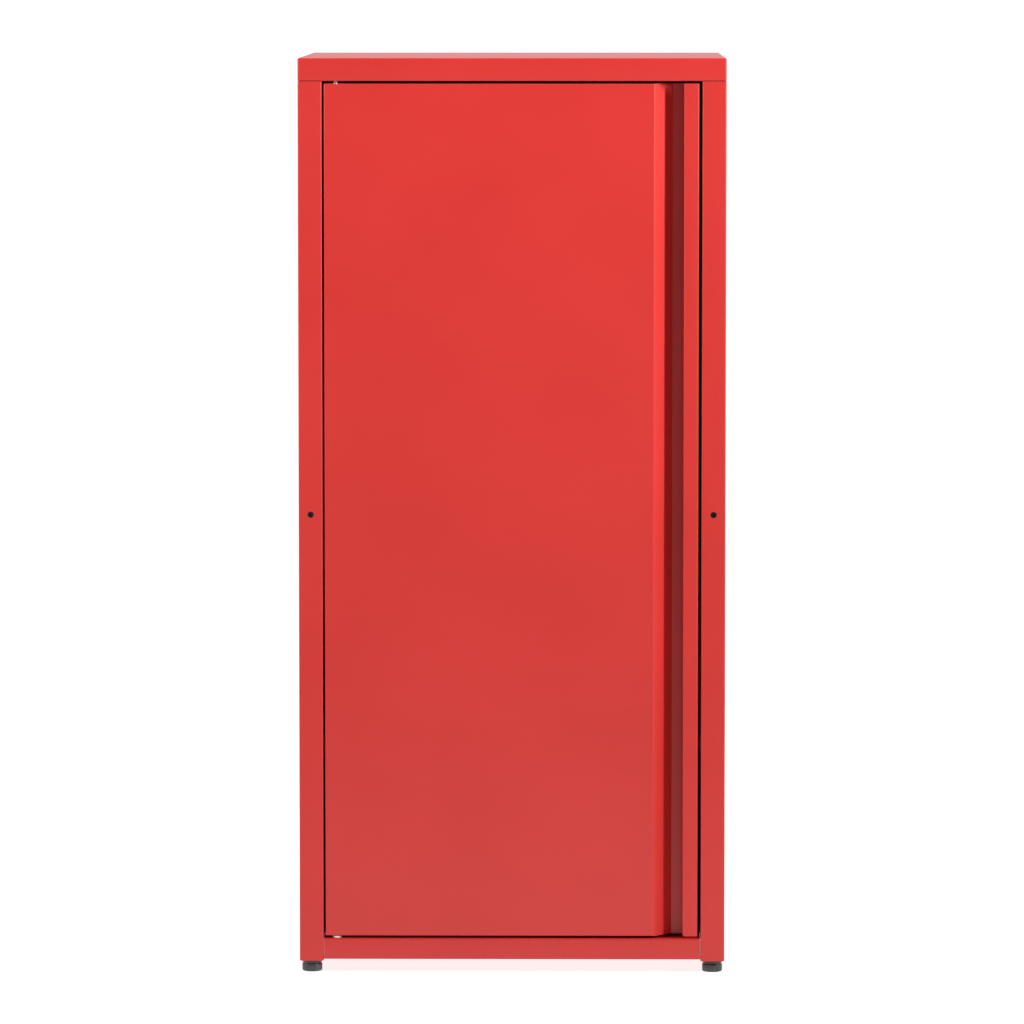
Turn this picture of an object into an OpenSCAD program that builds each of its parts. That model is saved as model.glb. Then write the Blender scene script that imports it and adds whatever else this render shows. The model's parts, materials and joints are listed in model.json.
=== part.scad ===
/* [Cabinet] */
// Outside width of the cabinet
cabinet_w = 400; // [360:1:500]
// Outside depth of the cabinet
cabinet_d = 350; // [320:1:400]
// Height from the floor to the top
cabinet_h = 860; // [800:1:1000]
// Thickness of the folded steel sheet
sheet_t = 0.8; // [0.7:0.1:1]
// Outer radius of each bend
bend_r = 1.5; // [1.3:0.1:1.8]
// Height of the top panel's turned-down edge
cap_h = 21.5; // [20:0.5:30]
// Depth of the lip under the top panel's front edge
cap_front_lip = 34; // [32:1:40]
// Width of the lip under the top panel's other edges
cap_lip = 14; // [12:1:18]

/* [Posts and base] */
// Width of each post's front face
post_w = 22.5; // [22:0.5:26]
// Depth of each post's box section
post_d = 38; // [37:0.5:44]
// Height of the bottom rail's face
rail_h = 20; // [16:1:26]
// Height of the bottom rail above the posts' lower ends
rail_lift = 1.6; // [1:0.1:3]
// Diameter of the hole in each front post's face
post_hole_d = 6.2; // [5:0.1:8]
// Height of the holes in the front posts
post_hole_z = 433; // [420:1:450]

/* [Door] */
// Gap between the left post and the door
door_gap_left = 1.9; // [1.8:0.1:2.4]
// Gap between the door and the right post
door_gap_right = 3; // [2.4:0.1:4]
// Gap above and below the door
door_gap_z = 2.3; // [2:0.1:3]
// Depth of the door from its face to its back
door_d = 18.3; // [17:0.1:19]
// Width of the flush strip right of the finger channel
lip_w = 14; // [12:0.5:18]
// Width of the finger channel's open mouth
channel_mouth = 28; // [26:0.5:34]
// Distance from the door's left edge to the hinge line
hinge_inset = 10.8; // [10.4:0.1:10.8]
// Distance from the front plane back to the hinge line
hinge_back = 5.5; // [5.4:0.1:5.6]
// Diameter of the hinge pins
pin_d = 4; // [3.6:0.1:4.4]
// Radial clearance of the pins in their bushes
pin_clearance = 0.05; // [0.03:0.01:0.08]

/* [Shelf] */
// Height of the shelf's upper face
shelf_z = 434; // [380:1:460]
// Height of the shelf's turned-down edges
shelf_h = 20; // [16:1:26]
// Number of peg heights in each post
peg_rows = 5; // [1:2:7]
// Distance between the peg heights
peg_pitch = 64; // [50:1:80]

/* [Feet] */
// Height of the feet below the posts when fully screwed in
foot_h = 11; // [8:0.5:12]
// Diameter of each foot pad
pad_d = 20; // [18:0.5:22]
// Diameter of each foot's threaded stud
stud_d = 8; // [6:0.5:10]

/* [Hidden] */
$fn = 48;

red = "firebrick";
steel = "silver";
nylon = "white";
black = [0.15, 0.15, 0.16];

// Small distances
cut = 1;          // how far a cut runs past a face
seam = 0.2;       // seam between two fixed panels
clear_fit = 0.3;  // gap between parts on different bodies
bend_steps = 6;   // straight steps in each bend

// The cabinet's main planes
half_w = cabinet_w / 2;
front_y = -cabinet_d / 2;
back_y = cabinet_d / 2;
cap_z = cabinet_h - cap_h;
post_top_z = cap_z - seam;
rail_z = foot_h + rail_lift;
floor_z = rail_z + rail_h;
post_in = half_w - post_w;          // inner face of the posts
wall_in = half_w - sheet_t;         // inner face of the side walls
post_front_end = front_y + post_d;  // back face of the front posts
post_rear_end = back_y - post_d;    // front face of the rear posts
inner_corner = 2;                   // cut corner at the foot of a post, towards the door
outer_corner = 1.2;                 // the same on the outer side
corner_cut_d = 3;                   // how far the cut corners run back

// The door's outline
door_left = -post_in + door_gap_left;
door_right = post_in - door_gap_right;
door_z = floor_z + door_gap_z;
door_top = cap_z - door_gap_z;
door_back = front_y + door_d;
lip_left = door_right - lip_w;
channel_left = lip_left - channel_mouth;
channel_y = door_back - sheet_t;    // front face of the channel's floor
slope_end = channel_left + (channel_y - front_y);
rim = 15;                           // width of the rim behind the door
hem_w = 9;                          // width of the strip folded back behind the lip
hem_gap = 1.6;                      // space inside the hem
lip_corner = 1.2;                   // cut corners at the lip's lower end
stiffener_x = -20;                  // middle of the stiffener behind the face

// The hinge line
hinge_x = door_left + hinge_inset;
hinge_y = front_y + hinge_back;
bush_r = 3.6;
bush_flange_r = 4.5;
bush_flange_t = 1.5;
bore_r = pin_d / 2 + pin_clearance;
plate_t = 2;
pin_head_r = 4;
pin_head_t = 1.8;
washer_r = 4.3;

// The catch above the door
catch_x = 95;
catch_w = 40;
catch_d = 19;
catch_h = 16;
catch_screw_x = 14.4;
magnet_w = 17.6;
magnet_d = 12;
magnet_z = cap_z - 9.5;
pole_z = 3.1;
pole_t = 1.2;
strike_t = 1;
strike_w = 28;
strike_h = 10.4;
strike_rivet_x = 11.5;
catch_y = door_back + strike_t + 2 * clear_fit;

// The door stops
stop_z = [215, 764];
stop_h = 16;
stop_leg = 14;
stop_t = 1.2;
stop_y = front_y + 30;
stop_plate = 11;                    // how far its riveted plate runs towards the door
stop_rivet_y = stop_y - stop_plate / 2;

// The shelf and its pegs
shelf_half_w = post_in - 2.5;
shelf_front = front_y + 26;
shelf_back = back_y - 9;
shelf_lip = 10;                     // lips under the shelf's front and rear edges
shelf_side_lip = 8;                 // lips under its sides
peg_d = 5;
peg_head_d = 7;
peg_out = 9;
peg_front_y = front_y + 31;
peg_rear_y = back_y - 26;
peg_z = shelf_z - shelf_h - clear_fit - peg_head_d / 2;

// The back panel and its screws
back_flange = 15;
back_z = [110, 330, 560, 780];
back_half_w = post_in - seam;
wall_hole_d = 6;
wall_hole_x = 150;
wall_hole_z = 800;

// The screws through the flanges
flange_w = 16;
flange_screw_x = half_w - 9;
flange_screw_y = 100;
screw_r = 2;
screw_head_r = 4;
screw_head_h = 2;

// The feet
foot_x = half_w - post_w / 2;
foot_in = 13;
foot_y = cabinet_d / 2 - foot_in;
insert_h = 16;
stud_top = 32;

// Unit vector along v
function unit(v) = v / norm(v);

// v turned left by a right angle
function left_of(v) = [-v[1], v[0]];

// v turned left by angle a
function turned(v, a) = [v[0] * cos(a) - v[1] * sin(a), v[0] * sin(a) + v[1] * cos(a)];

// +1 where the path p turns left at its point i, -1 where it turns right
function turn_at(p, i) = sign(cross(p[i] - p[i - 1], p[i + 1] - p[i]));

// Arc that one face of the sheet follows round point i of the path p.
// side is +1 for a sheet on the path's left, and far picks the face away from the path.
function bend(p, i, side, far) =
    let (
        a = unit(p[i] - p[i - 1]),
        b = unit(p[i + 1] - p[i]),
        turn = turn_at(p, i),
        angle = acos(a * b),
        near_r = turn == side ? bend_r : bend_r - sheet_t,
        far_r = turn == side ? bend_r - sheet_t : bend_r,
        inward = turn * left_of(a),
        centre = p[i] - a * near_r * tan(angle / 2) + inward * near_r
    )
    [for (k = [0:bend_steps])
        centre - turned(inward, turn * angle * k / bend_steps) * (far ? far_r : near_r)];

// One face of a folded sheet, from the first to the last point of the path p
function face(p, side, far) =
    let (
        n = len(p) - 1,
        shift = far ? side * sheet_t : 0
    )
    concat(
        [p[0] + shift * left_of(unit(p[1] - p[0]))],
        [for (i = [1:n - 1]) each bend(p, i, side, far)],
        [p[n] + shift * left_of(unit(p[n] - p[n - 1]))]
    );

function reversed(list) = [for (i = [len(list) - 1:-1:0]) list[i]];

// Outline of a folded sheet whose outer face follows the path p
function folded(p, side) = concat(face(p, side, false), reversed(face(p, side, true)));

// Rectangle centred on the origin with four rounded corners, w wide and h high
function rounded_rectangle(w, h, r) =
    [for (q = [0:3], k = [0:bend_steps])
        let (
            a = 90 * q + 90 * k / bend_steps,
            sx = q == 0 || q == 3 ? 1 : -1,
            sy = q < 2 ? 1 : -1
        )
        [sx * (w / 2 - r) + r * cos(a), sy * (h / 2 - r) + r * sin(a)]];

// Block with rounded edges; its lower face lies at z = 0
module rounded_block(w, d, h, r) {
    translate([0, 0, h / 2]) intersection() {
        translate([0, 0, -h / 2]) linear_extrude(h) polygon(rounded_rectangle(w, d, r));
        rotate([90, 0, 0])
            translate([0, 0, -d / 2]) linear_extrude(d) polygon(rounded_rectangle(w, h, r));
        rotate([90, 0, 90])
            translate([0, 0, -w / 2]) linear_extrude(w) polygon(rounded_rectangle(d, h, r));
    }
}

// Box from its lowest corner a to its highest corner b
module box(a, b) {
    translate(a) cube(b - a);
}

// Upright cylinder at x, y from z0 to z1
module post_round(x, y, z0, z1, r) {
    translate([x, y, z0]) cylinder(r = r, h = z1 - z0);
}

// Screw along -Z with its head's underside at z = 0 and a six-sided socket
module screw(length) {
    difference() {
        union() {
            cylinder(r1 = screw_head_r, r2 = screw_head_r - 0.8, h = screw_head_h);
            translate([0, 0, -length]) cylinder(r = screw_r, h = length);
        }
        translate([0, 0, screw_head_h - 1.2]) cylinder(r = 1.6, h = 2, $fn = 6);
    }
}

// Blind rivet along -Z with its head's underside at z = 0
module rivet(length) {
    cylinder(r1 = 2.8, r2 = 1.8, h = 1);
    translate([0, 0, -length]) cylinder(r = 1.5, h = length);
}

// Draws its child, made for the rear right corner, at all four corners
module at_corners() {
    for (m = [0, 1], n = [0, 1])
        mirror([m, 0, 0]) mirror([0, n, 0]) children();
}

// Sheet tray, open below, with its upper face at z = h and a lip turned in under each edge
module tray(w, d, h, side_lip, front_lip, rear_lip) {
    difference() {
        rounded_block(w, d, h, bend_r);
        translate([0, 0, sheet_t])
            rounded_block(w - 2 * sheet_t, d - 2 * sheet_t, h - 2 * sheet_t,
                          bend_r - sheet_t);
        box([-w / 2 + side_lip, -d / 2 + front_lip, -cut],
            [w / 2 - side_lip, d / 2 - rear_lip, 2 * sheet_t]);
    }
}

module top_panel() {
    color(red) difference() {
        translate([0, 0, cap_z])
            tray(cabinet_w, cabinet_d, cap_h, cap_lip, cap_front_lip, cap_lip);
        for (s = [-1, 1])
            post_round(s * hinge_x, hinge_y, cap_z - cut, cap_z + 2 * sheet_t, bush_r);
        for (s = [-1, 1], y = [-flange_screw_y, flange_screw_y])
            post_round(s * flange_screw_x, y, cap_z - cut, cap_z + 2 * sheet_t, screw_r);
        for (s = [-1, 1])
            post_round(catch_x + s * catch_screw_x, catch_y + catch_d / 2,
                       cap_z - cut, cap_z + 2 * sheet_t, screw_r);
    }
}

// Side wall with a box-section post at each end, seen from above
module side_profile() {
    polygon(folded([
        [-wall_in + 4, post_front_end],
        [-post_in, post_front_end],
        [-post_in, front_y],
        [-half_w, front_y],
        [-half_w, back_y],
        [-post_in, back_y],
        [-post_in, post_rear_end],
        [-wall_in + 4, post_rear_end]
    ], -1));
}

// Left side panel; the right one is its mirror image
module side_panel() {
    difference() {
        union() {
            translate([0, 0, foot_h]) linear_extrude(post_top_z - foot_h) side_profile();
            box([-wall_in - sheet_t / 2, post_front_end + seam, post_top_z - sheet_t],
                [-wall_in + flange_w, post_rear_end - seam, post_top_z]);
            box([-wall_in - sheet_t / 2, post_front_end + seam, floor_z - 2 * sheet_t - seam],
                [-wall_in + flange_w, post_rear_end - seam, floor_z - sheet_t - seam]);
        }
        translate([-foot_x, front_y - cut, post_hole_z])
            rotate([-90, 0, 0]) cylinder(d = post_hole_d, h = 4);
        for (y = [-flange_screw_y, flange_screw_y]) {
            post_round(-flange_screw_x, y, post_top_z - 2, post_top_z + cut, screw_r);
            post_round(-flange_screw_x, y, floor_z - 4, floor_z, screw_r);
        }
        for (y = [peg_front_y, peg_rear_y], k = [0:peg_rows - 1])
            translate([-post_in - 3, y, peg_z + (k - (peg_rows - 1) / 2) * peg_pitch])
                rotate([0, 90, 0]) cylinder(d = peg_d, h = 6);
        for (z = stop_z)
            translate([-post_in - 3, stop_rivet_y, z])
                rotate([0, 90, 0]) cylinder(r = 1.5, h = 6);
        for (z = back_z)
            translate([-post_in - 3, back_y - back_flange / 2, z])
                rotate([0, 90, 0]) cylinder(r = screw_r, h = 6);
        for (corner = [[post_in, inner_corner], [half_w, outer_corner]],
             y = [front_y - cut, back_y - corner_cut_d])
            translate([-corner[0], y, foot_h])
                rotate([-90, 0, 0]) cylinder(r = corner[1], h = corner_cut_d + cut, $fn = 4);
    }
}

module left_side_panel() {
    color(red) side_panel();
}

module right_side_panel() {
    color(red) mirror([1, 0, 0]) side_panel();
}

module back_panel() {
    low = floor_z + seam;
    high = cap_z - seam;
    color(red) difference() {
        translate([0, 0, low]) linear_extrude(high - low) polygon(folded([
            [-back_half_w, back_y - seam - back_flange],
            [-back_half_w, back_y - seam],
            [back_half_w, back_y - seam],
            [back_half_w, back_y - seam - back_flange]
        ], -1));
        for (s = [-1, 1])
            translate([s * wall_hole_x, back_y + cut, wall_hole_z])
                rotate([90, 0, 0]) cylinder(d = wall_hole_d, h = 5);
        for (s = [-1, 1], z = back_z)
            translate([s * back_half_w - 3, back_y - back_flange / 2, z])
                rotate([0, 90, 0]) cylinder(r = screw_r, h = 6);
    }
}

// Front rail, floor and rear edge in one folded sheet, seen from the left
module base_profile() {
    polygon(folded([
        [front_y + 14, rail_z],
        [front_y, rail_z],
        [front_y, floor_z],
        [back_y - 2, floor_z],
        [back_y - 2, rail_z + 4]
    ], -1));
}

module base_panel() {
    color(red) difference() {
        translate([-wall_in + seam, 0, 0])
            rotate([90, 0, 90]) linear_extrude(2 * (wall_in - seam)) base_profile();
        at_corners() box([post_in - 1.5 * seam, post_rear_end - seam, 0],
                         [half_w, back_y + cut, floor_z + cut]);
        for (s = [-1, 1])
            post_round(s * hinge_x, hinge_y, floor_z - 3, floor_z + cut, pin_d / 2);
        for (s = [-1, 1], y = [-flange_screw_y, flange_screw_y])
            post_round(s * flange_screw_x, y, floor_z - 3, floor_z + cut, screw_r);
    }
}

// Plate around the hinge line, from z0 up
module hinge_plate(z0, hole_r) {
    difference() {
        box([hinge_x - 8, front_y + bend_r, z0],
            [hinge_x + 20, front_y + 15, z0 + plate_t]);
        post_round(hinge_x, hinge_y, z0 - cut, z0 + plate_t + cut, hole_r);
    }
}

module upper_hinge_plate() {
    color(steel) hinge_plate(cap_z + sheet_t, bush_r);
}

module lower_hinge_plate() {
    color(steel) hinge_plate(floor_z - sheet_t - plate_t, pin_d / 2);
}

// Flanged bush with its sleeve starting at z = 0 and its flange on top of the sleeve
module bush(sleeve) {
    difference() {
        union() {
            cylinder(r = bush_r, h = sleeve);
            translate([0, 0, sleeve]) cylinder(r = bush_flange_r, h = bush_flange_t);
        }
        translate([0, 0, -cut])
            cylinder(r = bore_r, h = sleeve + bush_flange_t + 2 * cut);
    }
}

module upper_hinge_bush() {
    color(nylon) translate([hinge_x, hinge_y, cap_z]) bush(sheet_t + plate_t);
}

module lower_hinge_pin() {
    head_z = floor_z - sheet_t - plate_t;
    color(steel) {
        post_round(hinge_x, hinge_y, head_z - pin_head_t, head_z, pin_head_r);
        post_round(hinge_x, hinge_y, head_z - pin_head_t, door_z + 10, pin_d / 2);
    }
}

module lower_hinge_washer() {
    color(nylon) difference() {
        post_round(hinge_x, hinge_y, floor_z, door_z - clear_fit, washer_r);
        post_round(hinge_x, hinge_y, floor_z - cut, door_z, bore_r);
    }
}

// Plugs in the right-hand pair of hinge holes, flush with the faces towards the door
module spare_hinge_plugs() {
    head_r = 4;
    head_t = 0.9;
    upper_z = cap_z + sheet_t;
    lower_z = floor_z - sheet_t;
    color(nylon) {
        post_round(-hinge_x, hinge_y, upper_z, upper_z + head_t, head_r);
        post_round(-hinge_x, hinge_y, cap_z, upper_z + head_t, bush_r);
        post_round(-hinge_x, hinge_y, lower_z - head_t, lower_z, head_r);
        post_round(-hinge_x, hinge_y, lower_z - head_t, floor_z, pin_d / 2);
    }
}

module catch_housing() {
    color(black) difference() {
        box([catch_x - catch_w / 2, catch_y, cap_z - catch_h],
            [catch_x + catch_w / 2, catch_y + catch_d, cap_z]);
        box([catch_x - magnet_w / 2 - seam, catch_y - cut, magnet_z - pole_z - pole_t - seam],
            [catch_x + magnet_w / 2 + seam, catch_y + magnet_d, magnet_z + pole_z + pole_t + seam]);
        for (s = [-1, 1])
            post_round(catch_x + s * catch_screw_x, catch_y + catch_d / 2,
                       cap_z - catch_h - cut, cap_z + cut, screw_r);
    }
}

module catch_magnet() {
    color("dimgray")
        box([catch_x - magnet_w / 2, catch_y + 0.8, magnet_z - pole_z],
            [catch_x + magnet_w / 2, catch_y + magnet_d, magnet_z + pole_z]);
}

module catch_pole_plates() {
    color(steel) for (z = [magnet_z - pole_z - pole_t, magnet_z + pole_z])
        box([catch_x - magnet_w / 2, catch_y - clear_fit, z],
            [catch_x + magnet_w / 2, catch_y + magnet_d, z + pole_t]);
}

module catch_screws() {
    color(steel) for (s = [-1, 1])
        translate([catch_x + s * catch_screw_x, catch_y + catch_d / 2, cap_z - catch_h])
            rotate([180, 0, 0]) screw(catch_h + 3);
}

// Angle that stops the door, riveted to a post; the left one, at height z
module door_stop(z) {
    box([-post_in, stop_y - stop_plate, z - stop_h / 2],
        [-post_in + stop_t, stop_y + stop_t, z + stop_h / 2]);
    box([-post_in, stop_y, z - stop_h / 2],
        [-post_in + stop_leg, stop_y + stop_t, z + stop_h / 2]);
}

module door_stop_brackets() {
    color(red) for (z = stop_z, m = [0, 1]) mirror([m, 0, 0]) difference() {
        door_stop(z);
        translate([-post_in - cut, stop_rivet_y, z])
            rotate([0, 90, 0]) cylinder(r = 1.5, h = 5);
    }
}

module door_stop_rivets() {
    color(steel) for (z = stop_z, m = [0, 1]) mirror([m, 0, 0])
        translate([-post_in + stop_t, stop_rivet_y, z]) rotate([0, 90, 0]) rivet(5);
}

module door_bumpers() {
    color("gainsboro") for (z = stop_z)
        translate([post_in - 8.5, stop_y, z]) rotate([90, 0, 0])
            cylinder(r1 = 4.2, r2 = 3.4, h = stop_y - door_back - clear_fit);
}

// Push-in plug, set back inside the hole, with a shallow cup towards the front
module post_hole_plugs() {
    r = post_hole_d / 2;
    color(black) for (s = [-1, 1])
        translate([s * foot_x, front_y, post_hole_z]) rotate([-90, 0, 0]) difference() {
            union() {
                translate([0, 0, 0.4]) cylinder(r = r, h = 6);
                translate([0, 0, sheet_t]) cylinder(r = r + 1.4, h = 1.2);
            }
            cylinder(r = r - 0.9, h = 3);
        }
}

module shelf_pegs() {
    color(black) for (m = [0, 1], y = [peg_front_y, peg_rear_y]) mirror([m, 0, 0])
        translate([-post_in, y, peg_z]) rotate([0, 90, 0]) {
            cylinder(d = peg_head_d, h = peg_out);
            translate([0, 0, -8]) cylinder(d = peg_d, h = 9);
        }
}

// Plastic block in the lower end of each post, bored for a foot's stud
module foot_inserts() {
    wall_gap = sheet_t + seam;
    color(black) at_corners() difference() {
        box([post_in + wall_gap, post_rear_end + wall_gap, foot_h],
            [half_w - wall_gap, back_y - wall_gap, foot_h + insert_h]);
        post_round(foot_x, foot_y, foot_h - cut, foot_h + insert_h + cut,
                   stud_d / 2 + pin_clearance);
    }
}

module top_screws() {
    color(steel) for (s = [-1, 1], y = [-flange_screw_y, flange_screw_y])
        translate([s * flange_screw_x, y, post_top_z - sheet_t])
            rotate([180, 0, 0]) screw(6);
}

module base_screws() {
    color(steel) for (s = [-1, 1], y = [-flange_screw_y, flange_screw_y])
        translate([s * flange_screw_x, y, floor_z]) screw(8);
}

module back_screws() {
    color(steel) for (m = [0, 1], z = back_z) mirror([m, 0, 0])
        translate([-back_half_w + sheet_t, back_y - back_flange / 2, z])
            rotate([0, 90, 0]) screw(8);
}

// Outer face of the door's edge, front and slope, seen from above
door_front_path = [
    [door_left + rim, door_back],
    [door_left, door_back],
    [door_left, front_y],
    [channel_left, front_y],
    [slope_end, channel_y]
];

// Inner face of the finger channel, the lip and its hem, seen from above
door_lip_path = [
    [door_right - sheet_t, channel_y],
    [door_right - sheet_t, front_y + sheet_t],
    [lip_left + sheet_t, front_y + sheet_t],
    [lip_left + sheet_t, front_y + sheet_t + hem_gap],
    [lip_left + hem_w, front_y + sheet_t + hem_gap]
];

// Turned-in flange that closes the pan behind the door's face at one end
module door_end_flange() {
    linear_extrude(sheet_t) polygon(concat(
        face(concat(door_front_path, [[slope_end + 2, channel_y]]), 1, false),
        [[slope_end + 2, door_back], [door_left + rim, door_back]]
    ));
}

// The door's edges, front, channel, lip, end flanges and rims, before its ends are rounded
module door_sheet() {
    translate([0, 0, door_z]) linear_extrude(door_top - door_z)
        polygon(folded(concat(door_front_path, door_lip_path), 1));
    translate([0, 0, door_z]) door_end_flange();
    translate([0, 0, door_top - sheet_t]) door_end_flange();
    for (z = [door_z, door_top - rim])
        box([door_left + rim / 2, door_back - sheet_t, z], [slope_end, door_back, z + rim]);
}

// Space that keeps the bends at the upper and lower ends of the door's front.
// The lip has no bends there, only a small cut at its lower corners.
module door_envelope() {
    translate([door_left - cut, door_back, (door_z + door_top) / 2]) rotate([90, 0, 90])
        linear_extrude(slope_end + 1 - door_left + cut)
            polygon(rounded_rectangle(2 * door_d, door_top - door_z, bend_r));
    difference() {
        box([slope_end, front_y - cut, door_z], [door_right + cut, door_back, door_top]);
        for (x = [lip_left, door_right])
            translate([x, front_y - cut, door_z])
                rotate([-90, 0, 0]) cylinder(r = lip_corner, h = cut + 4, $fn = 4);
    }
}

module door_skin() {
    color(red) difference() {
        intersection() {
            door_sheet();
            door_envelope();
        }
        post_round(hinge_x, hinge_y, door_z - cut, door_z + 2, bush_r);
        post_round(hinge_x, hinge_y, door_top - 2, door_top + cut, pin_d / 2);
        for (s = [-1, 1])
            translate([catch_x + s * strike_rivet_x, door_back - 3, magnet_z])
                rotate([-90, 0, 0]) cylinder(r = 1.5, h = 5);
    }
}

// Hat section behind the door's face
module door_stiffener() {
    y = front_y + sheet_t + seam / 2;
    depth = 14;
    web = 40;
    foot = 12;
    color(red) translate([stiffener_x, 0, door_z + 2 * rim])
        linear_extrude(door_top - door_z - 4 * rim) polygon(folded([
            [-web / 2 - foot, y],
            [-web / 2, y],
            [-web / 2, y + depth],
            [web / 2, y + depth],
            [web / 2, y],
            [web / 2 + foot, y]
        ], 1));
}

module upper_door_plate() {
    color(steel) hinge_plate(door_top - sheet_t - plate_t, pin_d / 2);
}

module lower_door_plate() {
    color(steel) hinge_plate(door_z + sheet_t, bush_r);
}

module upper_hinge_pin() {
    head_z = door_top - sheet_t - plate_t;
    color(steel) {
        post_round(hinge_x, hinge_y, head_z - pin_head_t, head_z, pin_head_r);
        post_round(hinge_x, hinge_y, head_z - pin_head_t, cap_z + 8, pin_d / 2);
    }
}

module lower_hinge_bush() {
    color(nylon) translate([hinge_x, hinge_y, door_z]) bush(sheet_t + plate_t);
}

module strike_plate() {
    color(steel) difference() {
        box([catch_x - strike_w / 2, door_back, magnet_z - strike_h / 2],
            [catch_x + strike_w / 2, door_back + strike_t, magnet_z + strike_h / 2]);
        for (s = [-1, 1])
            translate([catch_x + s * strike_rivet_x, door_back - cut, magnet_z])
                rotate([-90, 0, 0]) cylinder(r = 1.5, h = 5);
    }
}

module strike_rivets() {
    color(steel) for (s = [-1, 1])
        translate([catch_x + s * strike_rivet_x, door_back - sheet_t, magnet_z])
            rotate([90, 0, 0]) rivet(sheet_t + strike_t);
}

module shelf() {
    depth = shelf_back - shelf_front;
    color(red) translate([0, (shelf_back + shelf_front) / 2, shelf_z - shelf_h])
        tray(2 * shelf_half_w, depth, shelf_h, shelf_side_lip, shelf_lip, shelf_lip);
}

// Foot pad with a flange, a groove and a rounded sole; side and end pick the corner
module foot_pad(side, end) {
    r = pad_d / 2;
    top = foot_h - seam;
    color(black) translate([side * foot_x, end * foot_y, 0]) rotate_extrude()
        polygon([
            [0, 0],
            [r - 1.9, 0],
            [r - 0.9, 0.5],
            [r - 0.5, 1.4],
            [r - 0.5, top - 4],
            [r - 0.8, top - 3.5],
            [r - 1.4, top - 3.4],
            [r - 1.4, top - 1.9],
            [r - 0.2, top - 1.7],
            [r, top - 1.4],
            [r, top - 0.3],
            [r - 0.3, top],
            [stud_d / 2, top],
            [stud_d / 2, top - 3.2],
            [0, top - 3.2]
        ]);
}

module foot_stud(side, end) {
    low = foot_h - seam - 3.2;
    color(steel) translate([side * foot_x, end * foot_y, low]) {
        cylinder(d = stud_d, h = stud_top - low - 1);
        translate([0, 0, stud_top - low - 1])
            cylinder(d1 = stud_d, d2 = stud_d - 2, h = 1);
    }
}

module front_left_foot_pad() {
    foot_pad(-1, -1);
}

module front_right_foot_pad() {
    foot_pad(1, -1);
}

module rear_left_foot_pad() {
    foot_pad(-1, 1);
}

module rear_right_foot_pad() {
    foot_pad(1, 1);
}

module front_left_foot_stud() {
    foot_stud(-1, -1);
}

module front_right_foot_stud() {
    foot_stud(1, -1);
}

module rear_left_foot_stud() {
    foot_stud(-1, 1);
}

module rear_right_foot_stud() {
    foot_stud(1, 1);
}

top_panel();
left_side_panel();
right_side_panel();
back_panel();
base_panel();
upper_hinge_plate();
lower_hinge_plate();
upper_hinge_bush();
lower_hinge_pin();
lower_hinge_washer();
spare_hinge_plugs();
catch_housing();
catch_magnet();
catch_pole_plates();
catch_screws();
door_stop_brackets();
door_stop_rivets();
door_bumpers();
post_hole_plugs();
shelf_pegs();
foot_inserts();
top_screws();
base_screws();
back_screws();
door_skin();
door_stiffener();
upper_door_plate();
lower_door_plate();
upper_hinge_pin();
lower_hinge_bush();
strike_plate();
strike_rivets();
shelf();
front_left_foot_pad();
front_right_foot_pad();
rear_left_foot_pad();
rear_right_foot_pad();
front_left_foot_stud();
front_right_foot_stud();
rear_left_foot_stud();
rear_right_foot_stud();
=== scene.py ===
"""Looks of a one-door steel cabinet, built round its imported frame. Lengths are in metres."""
import json
import math

import bmesh
import bpy
from mathutils import Matrix, Vector


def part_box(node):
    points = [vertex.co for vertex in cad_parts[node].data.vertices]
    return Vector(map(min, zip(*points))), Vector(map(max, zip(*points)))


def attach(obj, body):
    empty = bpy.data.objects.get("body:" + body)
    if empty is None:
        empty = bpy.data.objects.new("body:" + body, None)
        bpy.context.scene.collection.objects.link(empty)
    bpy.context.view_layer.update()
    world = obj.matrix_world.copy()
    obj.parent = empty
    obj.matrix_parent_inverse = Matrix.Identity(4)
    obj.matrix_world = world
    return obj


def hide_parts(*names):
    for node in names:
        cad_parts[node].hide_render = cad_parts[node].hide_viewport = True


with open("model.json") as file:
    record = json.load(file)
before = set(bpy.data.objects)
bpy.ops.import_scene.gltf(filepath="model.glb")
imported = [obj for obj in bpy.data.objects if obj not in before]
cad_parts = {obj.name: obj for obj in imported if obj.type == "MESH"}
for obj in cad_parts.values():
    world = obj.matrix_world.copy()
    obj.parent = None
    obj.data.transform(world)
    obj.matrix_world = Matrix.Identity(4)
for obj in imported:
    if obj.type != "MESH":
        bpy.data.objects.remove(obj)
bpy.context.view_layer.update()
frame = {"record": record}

RECORD = frame["record"]
NODE_BODY = {
    node: body
    for body, members in RECORD["behaviour"]["bodies"].items()
    for node in members
}
NODE_SLOT = {part["node"]: part["material_slot"] for part in RECORD["subparts"]}

# ---------------------------------------------------------------- sizes

MM = 0.001
FULL_TURN = 2 * math.pi

# Folded sheet
SHEET = 0.8 * MM         # thickness of the sheet
BEND = 1.5 * MM          # outer radius of its bends
BEND_STEPS = 8           # steps in each bend
CORNER_STEPS = 6         # steps in each corner of a rounded rectangle
SEAM = 0.2 * MM          # seam between two fixed panels
OVER = 1 * MM            # how far a cut runs past a face
THROUGH = 6 * MM         # length of a cut through a sheet or plate

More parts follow.
